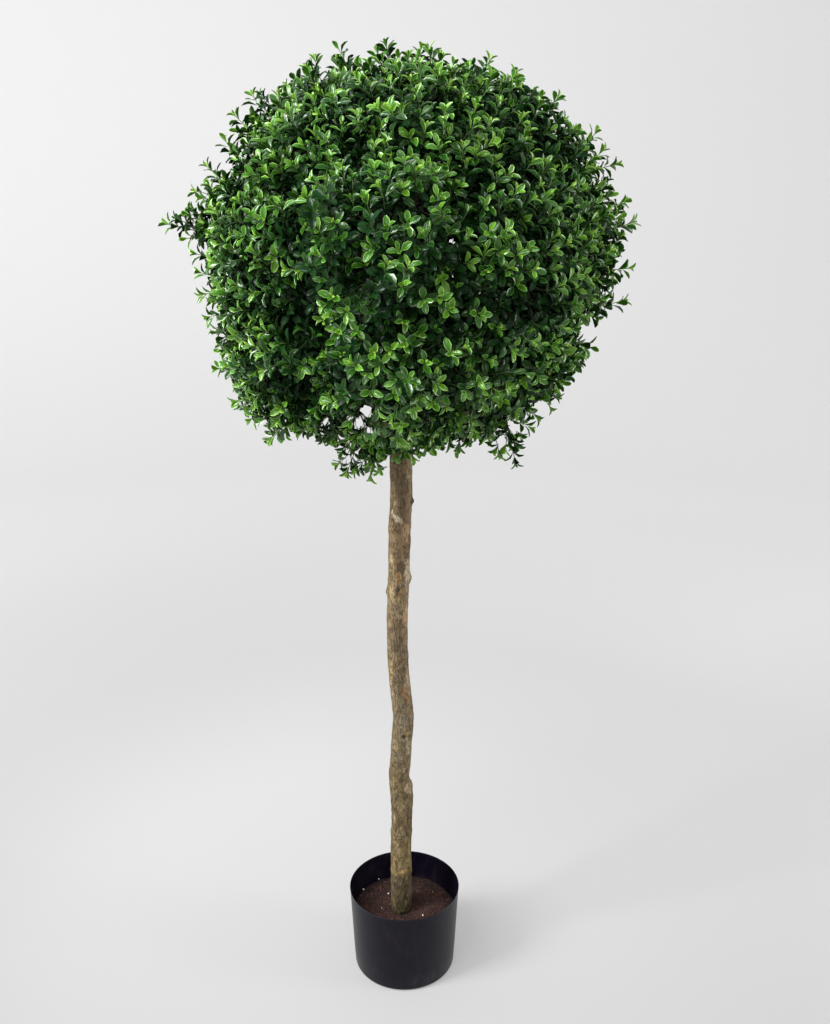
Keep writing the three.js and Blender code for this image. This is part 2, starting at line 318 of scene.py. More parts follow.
def pot_finish():
    finish = Finish("black_pot_plastic", Specular_IOR_Level=0.2)
    scuffs = finish.noise(9 * MM, detail=6, stretch=(1, 1, 0.35))
    cloud = finish.noise(60 * MM, detail=3)
    dust = finish.step(scuffs * 0.6 + cloud * 0.5, 0.52, 0.74)
    low = 1 - finish.step(finish.height(), 0, DUST_HEIGHT)
    finish.feed("Base Color", finish.blend(dust * (0.05 + 0.16 * low), POT_BLACK, POT_DUST))
    finish.feed("Roughness", 0.28 + 0.1 * scuffs + 0.06 * cloud)
    finish.bump(finish.noise(1.3 * MM, detail=3) * 0.5 + cloud * 0.5, 0.12, 0.25 * MM)
    return finish.material


def add_pot():
    top = pot_high.z
    lip = RIM_RADIUS - POT_RIM_BEAD
    slope = (lip - BASE_RADIUS) / top
    inset, rise = POT_UNDER
    under = [(0, rise), (BASE_RADIUS - inset, rise), (BASE_RADIUS - POT_FOOT_RING, 0)]
    foot = arc((BASE_RADIUS - POT_FOOT_ROUND, POT_FOOT_ROUND), POT_FOOT_ROUND, -90, -6, 7)
    # The wall's last ring lies close under the bead, so that the bead's shading doesn't spread down it.
    heights = (40 * MM, 80 * MM, 120 * MM, top - 6 * MM, top - 1.1 * MM)
    wall = [(BASE_RADIUS + slope * z, z) for z in heights]
    bead = arc((lip, top - POT_RIM_BEAD), POT_RIM_BEAD, -80, 175, 9)
    inside = [
        (lip - POT_WALL, top - 5 * MM),
        (BASE_RADIUS - POT_WALL + slope * POT_CORNER, POT_CORNER),
        (BASE_RADIUS - POT_CORNER, POT_FLOOR),
        (0, POT_FLOOR),
    ]
    bm = lathe(under + foot + wall + bead + inside, POT_STEPS)
    finish_piece("pot_shell", mesh_from(bm, "pot_shell"), [pot_finish()], ["pot"])


add_pot()


# ---------- soil ----------
def soil_finish():
    finish = Finish("coir", Specular_IOR_Level=0.2)
    crumbs = finish.noise(2.6 * MM, detail=8, roughness=0.75)
    patches = finish.noise(22 * MM, detail=4)
    colour = finish.blend(finish.step(crumbs, 0.4, 0.62), tone(22, 15, 14), tone(84, 57, 47))
    colour = finish.cover(colour, patches, 0.35, 0.65, 0.55, (34, 23, 21))
    # Painted shade: the coir is darker towards the wall, along an uneven edge, where the pot's wall
    # shades it.
    from_stem = finish.from_axis() + (patches - 0.5) * 40 * MM
    radius = soil_high.x
    colour = finish.cover(colour, from_stem, 0.62 * radius, 1.05 * radius, 0.7, (22, 16, 18))
    finish.feed("Base Color", colour)
    finish.feed("Roughness", 0.86 + 0.1 * crumbs)
    finish.bump(crumbs, 0.9, 1.2 * MM)
    return finish.material


def soil_height(x, y):
    """How far the loose top of the soil stands above its mean level."""
    return sum(
        height * noise.noise(Vector((x * count, y * count, pattern)))
        for count, pattern, height in SOIL_WAVES
    )


def add_soil(level):
    radius = soil_high.x
    rings = [(radius * ring / SOIL_RINGS, level) for ring in range(SOIL_RINGS + 1)]
    foot = BASE_RADIUS - POT_CORNER
    sides = [(radius - 2 * MM, level - SOIL_SIDE), (foot, soil_low.z), (0, soil_low.z)]
    bm = lathe(rings + sides, SOIL_STEPS)
    for vert in bm.verts:
        if vert.co.z > level - 1 * MM:
            vert.co.z += soil_height(vert.co.x, vert.co.y)
    finish_piece("soil_bed", mesh_from(bm, "soil_bed"), [soil_finish()], ["soil"])


def small_lump():
    bm = bmesh.new()
    bmesh.ops.create_icosphere(bm, subdivisions=1, radius=0.5)
    return bm


def template_arrays(bm):
    """The points and triangles of a small shape, and the material number of each triangle."""
    bmesh.ops.triangulate(bm, faces=bm.faces)
    bm.verts.index_update()
    points = np.array([vert.co for vert in bm.verts])
    triangles = np.array([[vert.index for vert in face.verts] for face in bm.faces])
    bands = np.array([face.material_index for face in bm.faces])
    bm.free()
    return points, triangles, bands


def copies(template, bases, places):
    """Joins a copy of a template for each basis and place.

    Returns points, triangles, and which copy each triangle belongs to.
    """
    points, triangles, _ = template
    moved = np.einsum("vk,nkc->nvc", points, bases) + places[:, None, :]
    shifted = triangles[None] + (np.arange(len(places)) * len(points))[:, None, None]
    owners = np.repeat(np.arange(len(places)), len(triangles))
    return moved.reshape(-1, 3), shifted.reshape(-1, 3), owners


def turned_basis(rng, sizes):
    """Three edges of a small box of these sizes, turned at random."""
    turns = [Matrix.Rotation(rng.uniform(0, math.tau), 3, axis) for axis in "XYZ"]
    return Matrix.Diagonal(sizes) @ turns[0] @ turns[1] @ turns[2]


def on_soil(rng, level):
    """A random place on top of the soil, clear of the stem."""
    while True:
        radius = soil_high.x * CRUMB_REACH * math.sqrt(rng.random())
        turn = rng.uniform(0, math.tau)
        x, y = radius * math.cos(turn), radius * math.sin(turn)
        if math.hypot(x - trunk_foot.x, y - trunk_foot.y) > trunk_foot_radius:
            return Vector((x, y, level + soil_height(x, y)))


def add_crumbs(level):
    rng = random.Random(11)
    bases, places, slots = [], [], []
    for _ in range(CRUMB_COUNT):
        size = rng.triangular(*CRUMB_SIZES) * MM
        sizes = (size, size * rng.uniform(0.5, 0.9), size * rng.uniform(0.4, 0.8))
        bases.append(turned_basis(rng, sizes))
        places.append(on_soil(rng, level) + UP * size * 0.1)
        slots.append(rng.choice(CRUMB_MIX))
    for x, y, width in WHITE_GRAINS:
        size = width * MM
        bases.append(turned_basis(rng, (size, size * 0.8, size * 0.7)))
        places.append(Vector((x * MM, y * MM, level + soil_height(x * MM, y * MM) + size * 0.35)))
        slots.append(WHITE_CRUMB)
    lump = template_arrays(small_lump())
    points, triangles, owners = copies(lump, np.array(bases), np.array(places))
    mesh = mesh_from_arrays("soil_crumbs", points, triangles, np.array(slots)[owners])
    materials = [
        Finish(f"coir_crumb_{number}", Base_Color=tone(*shade), Roughness=0.9).material
        for number, shade in enumerate(CRUMB_TONES)
    ]
    finish_piece("soil_crumbs", mesh, materials, smooth=False)


# ---------- trunk ----------
# Sizes in these tables are in mm. A turn is in degrees from the right, so the front is at -90.
# Knots and scars: height and turn, how far they rise, and how far they reach. Hollows rise less than 0.
SCARS = [
    (853, -2, 3.2, 3.6),
    (725, -12, 2.8, 7),
    (701, 178, 2.4, 5),
    (714, 178, -1.4, 5),
    (368, -12, -2.0, 8),
    (353, -10, 1.2, 7),
    (707, -88, -1.0, 3),
    (608, -90, -0.6, 7),
    (452, -80, -3.0, 3.4),
    (457, -74, 1.1, 9),
    (582, -92, 0.8, 3),
    (367, -78, -1.2, 4),
    (337, -62, -1.2, 4),
    (187, -78, 1.0, 5),
]
# Flakes of old bark with an abrupt upper edge: the same, and how far down they run out.
LEDGES = [
    (359, -18, 2.4, 10, 30),
    (308, -96, 0.8, 16, 14),
]
# Swollen rings: height, rise and reach.
BARK_RINGS = [
    (262, 0.8, 4),
    (314, 0.6, 4),
    (180, 0.6, 6),
]
# All over the bark: how far each kind of relief stands out, and its waves in a metre, across the stem
# and along it.
SWELLING, SWELLING_WAVES = 0.6, (50, 16)
BIG_PLATES, BIG_PLATE_WAVES = 0.28, (130, 60)
SMALL_PLATES, SMALL_PLATE_WAVES = 0.16, (320, 130)
GRAIN, GRAIN_WAVES = 0.2, (420, 200)
# Tones of the bark from the foot up, and the height where each starts.
BARK_ZONES = [
    (0, (72, 64, 42)),
    (180, (112, 96, 61)),
    (262, (93, 79, 52)),
    (314, (108, 93, 64)),
    (404, (111, 98, 74)),
    (568, (111, 94, 70)),
    (750, (114, 94, 68)),
]
ZONE_EDGE = 5 * MM  # half the height over which one tone turns into the next
# Light and shade painted in long bands up the stem, by which way the bark faces: turn, where the cosine
# of the angle from it starts and ends to count, tone, and how strongly it covers. The dark band down
# the front is painted shade, and the pale bands at the front left and front right are painted light;
# the band at the back darkens it there.
BARK_FACING_LIGHT_AND_SHADE = [
    (-84, 0.88, 1.0, (58, 47, 32), 0.62),
    (-150, 0.84, 0.99, (150, 131, 93), 0.34),
    (-28, 0.86, 1.0, (160, 137, 110), 0.4),
    (90, 0.7, 1.0, (104, 87, 59), 0.4),
]
FACING_PAINT_START = 400 * MM
FACING_PAINT_EDGE = 60 * MM
# Marks on the bark: height and turn, half width and half height, tone, and how strongly it covers.
BARK_MARKS = [
    (839, -136, 2.0, 4.6, (190, 177, 150), 0.75),
    (833, -118, 3.4, 4.2, (184, 171, 144), 0.75),
    (829, -100, 5.2, 4.8, (186, 174, 150), 0.8),
    (826, -88, 3.4, 5.2, (178, 165, 139), 0.75),
    (853, -6, 7, 6, (59, 44, 29), 0.8),
    (854, -124, 2, 3.4, (179, 158, 123), 0.6),
    (806, -50, 6.5, 17, (165, 134, 98), 0.6),
    # These three long dark marks down the front of the stem's top are painted shade.
    (895, -97, 7, 45, (73, 59, 41), 0.5),
    (846, -84, 5, 30, (84, 68, 46), 0.45),
    (795, -93, 4, 30, (89, 77, 51), 0.4),
    (760, -140, 4.6, 7, (186, 165, 126), 0.7),
    (752, -124, 3, 13, (189, 161, 108), 0.45),
    (746, -84, 6, 13, (66, 52, 36), 0.75),
    (732, -91, 5.2, 9, (139, 106, 64), 0.66),
    (738, -36, 7, 19, (180, 165, 139), 0.8),
    (709, -92, 4.4, 9, (62, 47, 31), 0.75),
    (704, -79, 3.6, 7, (139, 106, 64), 0.64),
    (703, -128, 4, 12, (190, 171, 128), 0.65),
    (696, -24, 5, 60, (165, 144, 117), 0.4),
    (667, -41, 6.5, 17, (177, 141, 106), 0.65),
    (644, -86, 7, 10, (92, 77, 54), 0.5),
    (610, -90, 6.5, 13, (80, 68, 49), 0.7),
    (563, -140, 4, 22, (163, 138, 91), 0.45),
    (546, -148, 2.2, 3.4, (205, 187, 154), 0.75),
    (554, -34, 5, 17, (175, 154, 127), 0.5),
    (534, -72, 4, 8, (143, 96, 51), 0.6),
    (521, -52, 3.2, 10, (138, 92, 48), 0.6),
    (510, -96, 7, 11, (97, 86, 65), 0.45),
    (481, -84, 8, 11, (116, 109, 91), 0.5),
    # The darkest mark fills the hollow at this height: painted shade in the hole.
    (452, -80, 3.2, 4, (43, 32, 21), 0.95),
    (458, -66, 6, 3.4, (149, 126, 81), 0.55),
    (430, -48, 5.5, 14, (167, 148, 114), 0.55),
    (433, -125, 5, 11, (159, 138, 98), 0.4),
    (366, -80, 5, 3, (64, 54, 38), 0.7),
    (352, -40, 7, 13, (167, 144, 114), 0.55),
    (337, -68, 6.5, 4, (68, 57, 42), 0.6),
    (292, -140, 3, 7, (179, 158, 117), 0.5),
    (288, -42, 1.8, 10, (136, 94, 55), 0.5),
    (261, -90, 17, 2, (71, 57, 38), 0.55),
    (314, -90, 17, 1.6, (81, 69, 48), 0.45),
    (190, -72, 6, 3.4, (179, 140, 87), 0.65),
    (210, -135, 3.4, 11, (163, 139, 87), 0.45),
]


def bell(distance, reach):
    return math.exp(-((distance / reach) ** 2))


def swing(turn, other):
    """The signed angle between two turns, the second in degrees."""
    return (turn - math.radians(other) + math.pi) % math.tau - math.pi


def waves(point, across, along):
    """Smooth noise with so many waves in a metre across the stem and along it."""
    return noise.noise(Vector((point.x * across, point.y * across, point.z * along)))


def plates(point, across, along):
    """Loose plates of bark: between -1 and 1, mostly at either end."""
    return max(-1, min(1, waves(point, across, along) * 5))


def bark_relief(point, centre, radius):
    """How far the bark stands out at a point of the stem."""
    around = point - centre
    turn = math.atan2(around.y, around.x)
    height = point.z / MM
    rise = 0
    for scar_height, scar_turn, stands, reach in SCARS:
        away = math.hypot(height - scar_height, swing(turn, scar_turn) * radius / MM)
        rise += stands * bell(away, reach)
    for ledge_height, ledge_turn, stands, reach, down in LEDGES:
        below = ledge_height + 2 * noise.noise(point * 300) - height
        edge = max(0, min(1, below)) * bell(max(0, below), down)
        rise += stands * edge * bell(swing(turn, ledge_turn) * radius / MM, reach)
    for ring_height, stands, reach in BARK_RINGS:
        waver = 4 * noise.noise(Vector((math.cos(turn), math.sin(turn), ring_height)))
        rise += stands * bell(height + waver - ring_height, reach)
    rise += SWELLING * waves(point, *SWELLING_WAVES)
    rise += BIG_PLATES * plates(point, *BIG_PLATE_WAVES)
    rise += SMALL_PLATES * plates(point, *SMALL_PLATE_WAVES)
    rise += GRAIN * waves(point, *GRAIN_WAVES)
    return rise * MM


def stem_ring(height):
    """The middle and radius of the stem's own shape near a height."""
    points = [vert.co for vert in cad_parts["trunk"].data.vertices]
    nearest = min((point.z for point in points), key=lambda z: abs(z - height))
    ring = [point for point in points if abs(point.z - nearest) < 1 * MM]
    middle = sum(ring, Vector()) / len(ring)
    return middle, sum((point - middle).length for point in ring) / len(ring)


def on_bark(height, turn):
    """A point on the stem, from a height in metres and a turn in degrees."""
    middle, radius = stem_ring(height)
    around = math.radians(turn)
    return Vector((middle.x + radius * math.cos(around), middle.y + radius * math.sin(around), height))


def merged_copy(node, cuts):
    """A node's own shape with its loose triangles joined, ready to be worked finer."""
    bm = bmesh.new()
    bm.from_mesh(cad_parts[node].data)
    bmesh.ops.remove_doubles(bm, verts=bm.verts, dist=1e-5)
    bmesh.ops.subdivide_edges(bm, edges=bm.edges, cuts=cuts, use_grid_fill=True)
    return bm


def stem_centres(bm, spacing):
    """The middle of a stem at every spacing of its height."""
    sums = {}
    for vert in bm.verts:
        key = round(vert.co.z / spacing)
        total, count = sums.get(key, (Vector(), 0))
        sums[key] = (total + vert.co, count + 1)
    return {key: total / count for key, (total, count) in sums.items()}


def zone_colour(finish, height):
    """The bark's tones from the foot up, with wavy edges between them."""
    level = height + (finish.noise(14 * MM, detail=4) - 0.5) * 22 * MM
    colour = tone(*BARK_ZONES[0][1])
    for start, shade in BARK_ZONES[1:]:
        edge = start * MM
        colour = finish.cover(colour, level, edge - ZONE_EDGE, edge + ZONE_EDGE, 1, shade)
    return colour


def paint_facing_light_and_shade(finish, height, colour):
    """Lays light and shade, painted in long bands by which way the bark faces, over a colour, in
    patches and only above the stem's lower part.
    """
    facing = finish.node("ShaderNodeAttribute", {"attribute_name": "facing"}, output="Vector")
    drift = (finish.noise(30 * MM, detail=5, roughness=0.65, stretch=(1, 1, 0.5)) - 0.5) * 0.5
    reached = finish.step(height, FACING_PAINT_START - FACING_PAINT_EDGE, FACING_PAINT_START + FACING_PAINT_EDGE)
    patchy = finish.step(finish.noise(45 * MM, detail=3), 0.3, 0.6) * reached
    for turn, low, high, shade, share in BARK_FACING_LIGHT_AND_SHADE:
        way = (math.cos(math.radians(turn)), math.sin(math.radians(turn)), 0)
        settings = {"operation": "DOT_PRODUCT"}
        near = finish.node("ShaderNodeVectorMath", settings, {0: facing, 1: way}, output="Value")
        colour = finish.cover(colour, near + drift, low, high, patchy * share, shade)
    return colour


def add_marks(finish, colour):
    """Lays the single marks over a colour."""
    ragged = (finish.noise(4 * MM, detail=6, roughness=0.75, stretch=(1, 1, 0.7)) - 0.5) * 3.4
    for height, turn, wide, tall, shade, share in BARK_MARKS:
        reach = (wide * MM, wide * MM, tall * MM)
        mark = finish.spot(on_bark(height * MM, turn), reach, ragged)
        colour = finish.blend(mark * share, colour, tone(*shade))
    return colour


def bark_finish():
    finish = Finish("stem_bark", Specular_IOR_Level=0.25)
    height = finish.height()
    # Painted shade down the front of the stem and painted light on its sides, by which way the bark
    # faces.
    colour = paint_facing_light_and_shade(finish, height, zone_colour(finish, height))
    broad = finish.noise(20 * MM, detail=6, roughness=0.6, stretch=(1, 1, 0.45), distortion=0.5)
    colour = finish.cover(colour, broad, 0.48, 0.62, 0.45, (149, 130, 96))
    greys = finish.noise(15 * MM, detail=6, roughness=0.6, stretch=(1, 1, 0.6))
    colour = finish.cover(colour, greys, 0.53, 0.64, 0.45, (121, 112, 97))
    mottle = finish.noise(8 * MM, detail=7, roughness=0.65, stretch=(1, 1, 0.5), distortion=0.8)
    colour = finish.cover(colour, mottle, 0.48, 0.6, 0.5, (73, 60, 42))
    pale = finish.noise(9 * MM, detail=6, roughness=0.6, stretch=(1, 1, 0.5))
    colour = finish.cover(colour, pale, 0.58, 0.68, 0.38, (184, 162, 120))
    rusty = finish.noise(11 * MM, detail=5, stretch=(1, 1, 0.4))
    colour = finish.cover(colour, rusty, 0.67, 0.76, 0.4, (151, 102, 59))
    colour = add_marks(finish, colour)
    grain = finish.noise(2.2 * MM, detail=6, roughness=0.7, stretch=(1, 1, 0.45))
    colour = finish.cover(colour, grain, 0.5, 0.66, 0.5, (50, 40, 28))
    veins = finish.noise(7 * MM, detail=5, stretch=(1, 1, 0.4))
    cracks = 1 - finish.step(veins.away_from(0.5), 0.006, 0.03)
    colour = finish.blend(cracks * 0.6, colour, tone(43, 33, 23))
    finish.feed("Base Color", colour)
    finish.feed("Roughness", 0.66 + 0.22 * mottle)
    finish.bump(mottle * 0.6 + grain * 0.6 - cracks * 0.4, 1.0, 1.5 * MM)
    return finish.material


TRUNK_CUTS = 5
TRUNK_SMOOTHINGS = 3
CENTRE_SPACING = 12 * MM


def add_trunk():
    bm = merged_copy("trunk", TRUNK_CUTS)
    for _ in range(TRUNK_SMOOTHINGS):
        bmesh.ops.smooth_vert(bm, verts=bm.verts, factor=0.5, use_axis_x=True, use_axis_y=True)
    centres = stem_centres(bm, CENTRE_SPACING)
    moves, sides = [], []
    for vert in bm.verts:
        centre = centres[round(vert.co.z / CENTRE_SPACING)]
        around = Vector((vert.co.x - centre.x, vert.co.y - centre.y, 0))
        sides.append(around.normalized())
        moves.append(sides[-1] * bark_relief(vert.co, centre, around.length))
    for vert, move in zip(bm.verts, moves):
        vert.co += move
        if vert.co.z < trunk_low.z + 1e-4:
            vert.co.z -= TRUNK_SUNK
    mesh = mesh_from(bm, "trunk_bark")
    facing = mesh.attributes.new("facing", "FLOAT_VECTOR", "POINT")
    facing.data.foreach_set("vector", [part for side in sides for part in side])
    finish_piece("trunk_bark", mesh, [bark_finish()], ["trunk"])


def trunk_foot_circle():
    """The middle of the stem's foot, and a radius just clear of it."""
    points = [vert.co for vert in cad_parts["trunk"].data.vertices]
    foot = [point for point in points if point.z < trunk_low.z + 1 * MM]
    centre = sum(foot, Vector()) / len(foot)
    return centre, max((point - centre).length for point in foot) + 1 * MM


trunk_foot, trunk_foot_radius = trunk_foot_circle()
soil_level = soil_high.z - SOIL_HEAVE
add_soil(soil_level)
add_crumbs(soil_level)
add_trunk()


# ---------- leaves ----------
# Base colours, from the heart of the crown to the youngest tips, then the light edges. The darker tints
# are partly the older leaves' own colour and partly painted shade inside and under the crown; "shaded"
# is painted shade.
TINTS = {
    "deep": (28, 47, 26),
    "dark_cool": (21, 50, 20),
    "dark_warm": (26, 55, 15),
    "mid_cool": (27, 66, 19),
    "mid_warm": (39, 79, 15),
    "fresh_cool": (57, 108, 24),
    "fresh_warm": (81, 128, 32),
    "bud": (134, 174, 64),
    "shaded": (48, 56, 28),
    # Pale edges: partly the leaves' paler margins, partly painted edge highlights.
    "edge_dark": (60, 90, 46),
    "edge_mid": (92, 136, 64),
    "edge_fresh": (148, 190, 92),
}
TINT_NAMES = list(TINTS)
EDGE_OF = {
    "dark_warm": "edge_dark",
    "shaded": "edge_dark",
    "mid_cool": "edge_mid",
    "mid_warm": "edge_mid",
    "fresh_cool": "edge_fresh",
    "fresh_warm": "edge_fresh",
}
LEAF_ROUGHNESS = 0.2
BUD_ROUGHNESS = 0.38
LEAF_GLOSS = 0.5
DARK_LEAF_GLOSS = 0.15
DARK_TINTS = ("deep", "dark_cool", "dark_warm", "shaded", "edge_dark")


def leaf_finishes():
    return [
        Finish(
            f"leaf_{name}",
            Base_Color=tone(*TINTS[name]),
            Roughness=BUD_ROUGHNESS if name == "bud" else LEAF_ROUGHNESS,
            Specular_IOR_Level=DARK_LEAF_GLOSS if name in DARK_TINTS else LEAF_GLOSS,
        ).material
        for name in TINT_NAMES
    ]


# Where a leaf's cross sections lie along it and its edges across it, with and without a light rim.
# The light rim is partly the leaf's paler margin and partly a painted edge highlight.
RIMMED_STATIONS = (0, 0.25, 0.56, 0.85, 1)
RIMMED_ACROSS = (-1, -0.83, 0, 0.83, 1)
PLAIN_STATIONS = (0, 0.3, 0.62, 0.9, 1)
PLAIN_ACROSS = (-1, 0, 1)
LEAF_WIDEST = 0.62
LEAF_END = 1.01  # just past the tip, which leaves it blunt
LEAF_CURVE = 1.6  # how its foot narrows and its section curves
LEAF_CUP = 0.13
LEAF_BEND = 0.07


def leaf_half_width(share):
    """Narrow at the foot and round at the tip, as a share of the half width at the widest place."""
    if share < LEAF_WIDEST:
        return math.sin(math.pi / 2 * share / LEAF_WIDEST) ** LEAF_CURVE
    return math.sqrt(1 - ((share - LEAF_WIDEST) / (LEAF_END - LEAF_WIDEST)) ** 2)


def leaf_template(stations, across):
    """A cupped leaf, one long and one wide, from its foot along Y with its upper side to +Z.

    Its faces have material number 0, and those along a light rim 1.
    """
    bm = bmesh.new()
    bmesh.ops.create_grid(bm, x_segments=len(across) - 1, y_segments=len(stations) - 1, size=0.5)
    rows = sorted({round(vert.co.y, 4) for vert in bm.verts})
    columns = sorted({round(vert.co.x, 4) for vert in bm.verts})
    for vert in bm.verts:
        share = stations[rows.index(round(vert.co.y, 4))]
        side = across[columns.index(round(vert.co.x, 4))]
        wide = leaf_half_width(share)
        cup = LEAF_CUP * wide * abs(side) ** LEAF_CURVE
        bend = LEAF_BEND * (math.sin(math.pi * share) - share**3)
        vert.co = (0.5 * side * wide, share, cup + bend)
    for face in bm.faces:
        middle = sum(abs(vert.co.x) for vert in face.verts)
        edge = sum(0.5 * leaf_half_width(vert.co.y) * across[-2] for vert in face.verts)
        face.material_index = int(across is RIMMED_ACROSS and middle > edge + 1e-6)
    bmesh.ops.remove_doubles(bm, verts=bm.verts, dist=1e-5)
    return template_arrays(bm)


RIMMED_LEAF = leaf_template(RIMMED_STATIONS, RIMMED_ACROSS)
PLAIN_LEAF = leaf_template(PLAIN_STATIONS, PLAIN_ACROSS)


# Gaps that let light through the crown, seen from the front: where each one's line of sight crosses the
# crown's middle plane, to the right and up, and its radius, in mm.
OPENINGS = [
    (-55, 995, 9), (-66, 975, 7), (-51, 965, 4), (-80, 984, 3), (-116, 979, 5), (167, 968, 7),
    (149, 946, 6), (211, 1000, 6), (70, 1242, 3.6), (72, 1193, 2.2), (26, 1194, 2), (113, 1168, 3),
]
OPENING_MARGIN = 2.5 * MM
TESTED_SHARES = (0.35, 0.65, 0.95)  # where along a leaf or twig it is tested
SIGHT_LINES = [
    ((Vector((x, 0, z)) * MM - CAMERA_PLACE).normalized(), radius * MM + OPENING_MARGIN)
    for x, z, radius in OPENINGS
]


def blocks_opening(foot, tip, leeway=0):
    """Whether a leaf or a length of twig would close one of the gaps."""
    for way, radius in SIGHT_LINES:
        for share in TESTED_SHARES:
            point = foot.lerp(tip, share) - CAMERA_PLACE
            if (point - way * point.dot(way)).length < radius - leeway:
                return True
    return False


def joined_mesh(name, parts):
    """One mesh from several lots of points, triangles and material numbers."""
    points, triangles, slots, base = [], [], [], 0
    for made, faces, bands in parts:
        points.append(made)
        triangles.append(faces + base)
        slots.append(bands)
        base += len(made)
    return mesh_from_arrays(name, np.vstack(points), np.vstack(triangles), np.concatenate(slots))


class Foliage:
    """The leaves of one piece, gathered before they are joined."""

    def __init__(self):
        self.rimmed = []
        self.plain = []

    def add(self, place, along, face, length, width, curl, tint):
        """Adds a leaf by its foot, its direction and its upper side, unless it would close a gap."""
        if blocks_opening(place, place + along * length):
            return
        side = along.cross(face)
        basis = (side * width, along * length, face * length * curl)
        row = (basis, place, TINT_NAMES.index(tint), TINT_NAMES.index(EDGE_OF.get(tint, tint)))
        (self.rimmed if tint in EDGE_OF else self.plain).append(row)

    def add_to_object(self, name, replaced=()):
        """Makes the leaves a piece of the object."""
        parts = []
        for template, rows in ((RIMMED_LEAF, self.rimmed), (PLAIN_LEAF, self.plain)):
            if rows:
                bases, places = (np.array([row[part] for row in rows]) for part in (0, 1))
                tints = np.array([row[2:4] for row in rows])
                points, triangles, owners = copies(template, bases, places)
                bands = np.tile(template[2], len(rows))
                parts.append((points, triangles, tints[owners, bands]))
        finish_piece(name, joined_mesh(name, parts), LEAF_FINISHES, replaced)


# ---------- twigs ----------
class Twigs:
    """Thin tapered tubes of one piece, all with the same number of points."""

    def __init__(self, sides, count):
        self.sides = sides
        self.count = count
        self.paths = []
        self.radii = []
        self.slots = []

    def add(self, start, bend, end, first, last, slots):
        """Adds a tube between two radii that bends on its way, unless it would close a gap."""
        shares = [step / (self.count - 1) for step in range(self.count)]
        path = [start * (1 - s) ** 2 + bend * 2 * s * (1 - s) + end * s * s for s in shares]
        if any(blocks_opening(a, b, 2 * OPENING_MARGIN) for a, b in zip(path, path[1:])):
            return
        self.paths.append(path)
        self.radii.append([first + (last - first) * s for s in shares])
        self.slots.append(slots)

    def arrays(self):
        """All tubes as points, triangles and material numbers."""
        paths = np.array(self.paths)
        radii = np.array(self.radii)
        tangents = np.gradient(paths, axis=1)
        tangents /= np.linalg.norm(tangents, axis=2, keepdims=True)
        whole = paths[:, -1] - paths[:, 0]
        reference = np.zeros_like(whole)
        reference[np.arange(len(whole)), np.abs(whole).argmin(axis=1)] = 1
        across = np.cross(tangents, reference[:, None, :])
        across /= np.linalg.norm(across, axis=2, keepdims=True)
        along = np.cross(tangents, across)
        turns = np.arange(self.sides) * math.tau / self.sides
        ring = np.cos(turns)[:, None] * across[:, :, None, :]
        ring = ring + np.sin(turns)[:, None] * along[:, :, None, :]
        points = paths[:, :, None, :] + ring * radii[:, :, None, None]
        faces, bands = self._faces()
        block = self.count * self.sides
        triangles = faces[None] + (np.arange(len(paths)) * block)[:, None, None]
        slots = np.array(self.slots)[:, bands]
        return points.reshape(-1, 3), triangles.reshape(-1, 3), slots.ravel()

    def _faces(self):
        """The triangles of one tube, with flat ends, and the length of it that each belongs to."""
        faces, bands = [], []
        for step in range(self.count - 1):
            for side in range(self.sides):
                a = step * self.sides + side
                b = step * self.sides + (side + 1) % self.sides
                faces += [(a, b, b + self.sides), (a, b + self.sides, a + self.sides)]
                bands += [step, step]
        last = (self.count - 1) * self.sides
        for side in range(1, self.sides - 1):
            faces += [(0, side + 1, side), (last, last + side, last + side + 1)]
            bands += [0, self.count - 2]
        return np.array(faces), np.array(bands)


def twig_finishes():
    old = Finish("twig_brown", Base_Color=tone(58, 44, 32), Roughness=0.7)
    young = Finish("stem_green", Base_Color=tone(74, 92, 44), Roughness=0.5)
    return [old.material, young.material]


def add_twigs(name, bundles):
    mesh = joined_mesh(name, [bundle.arrays() for bundle in bundles])
    finish_piece(name, mesh, TWIG_FINISHES)


LEAF_FINISHES = leaf_finishes()
TWIG_FINISHES = twig_finishes()
OLD_WOOD, YOUNG_WOOD = 0, 1
# What each length of a stem is, from its foot to its tip.
SPRAY_WOOD = [OLD_WOOD] * 2 + [YOUNG_WOOD] * 2
SHOOT_WOOD = [OLD_WOOD] * 3 + [YOUNG_WOOD] * 2


# ---------- sprays ----------
# Leaf pairs from a spray's tip back: distance from the tip in mm, leaf length and width as shares of a
# full leaf, and the angle between leaf and stem.
SPRAY_PAIRS = [
    {"back": 0.5, "length": 0.48, "width": 0.36, "angle": 12},
    {"back": 2.5, "length": 0.8, "width": 0.72, "angle": 35},
    {"back": 8, "length": 1.0, "width": 0.96, "angle": 51},
    {"back": 15, "length": 1.05, "width": 1.0, "angle": 60},
    {"back": 23, "length": 1.05, "width": 1.0, "angle": 65},
    {"back": 31, "length": 1.0, "width": 1.0, "angle": 68},
]

# The same on a long shoot.
TUFT_PAIRS = [dict(pair, back=pair["back"] * 1.1) for pair in SPRAY_PAIRS] + [
    {"back": 41, "length": 1.0, "width": 0.95, "angle": 64},
    {"back": 50, "length": 0.95, "width": 0.9, "angle": 66},
]

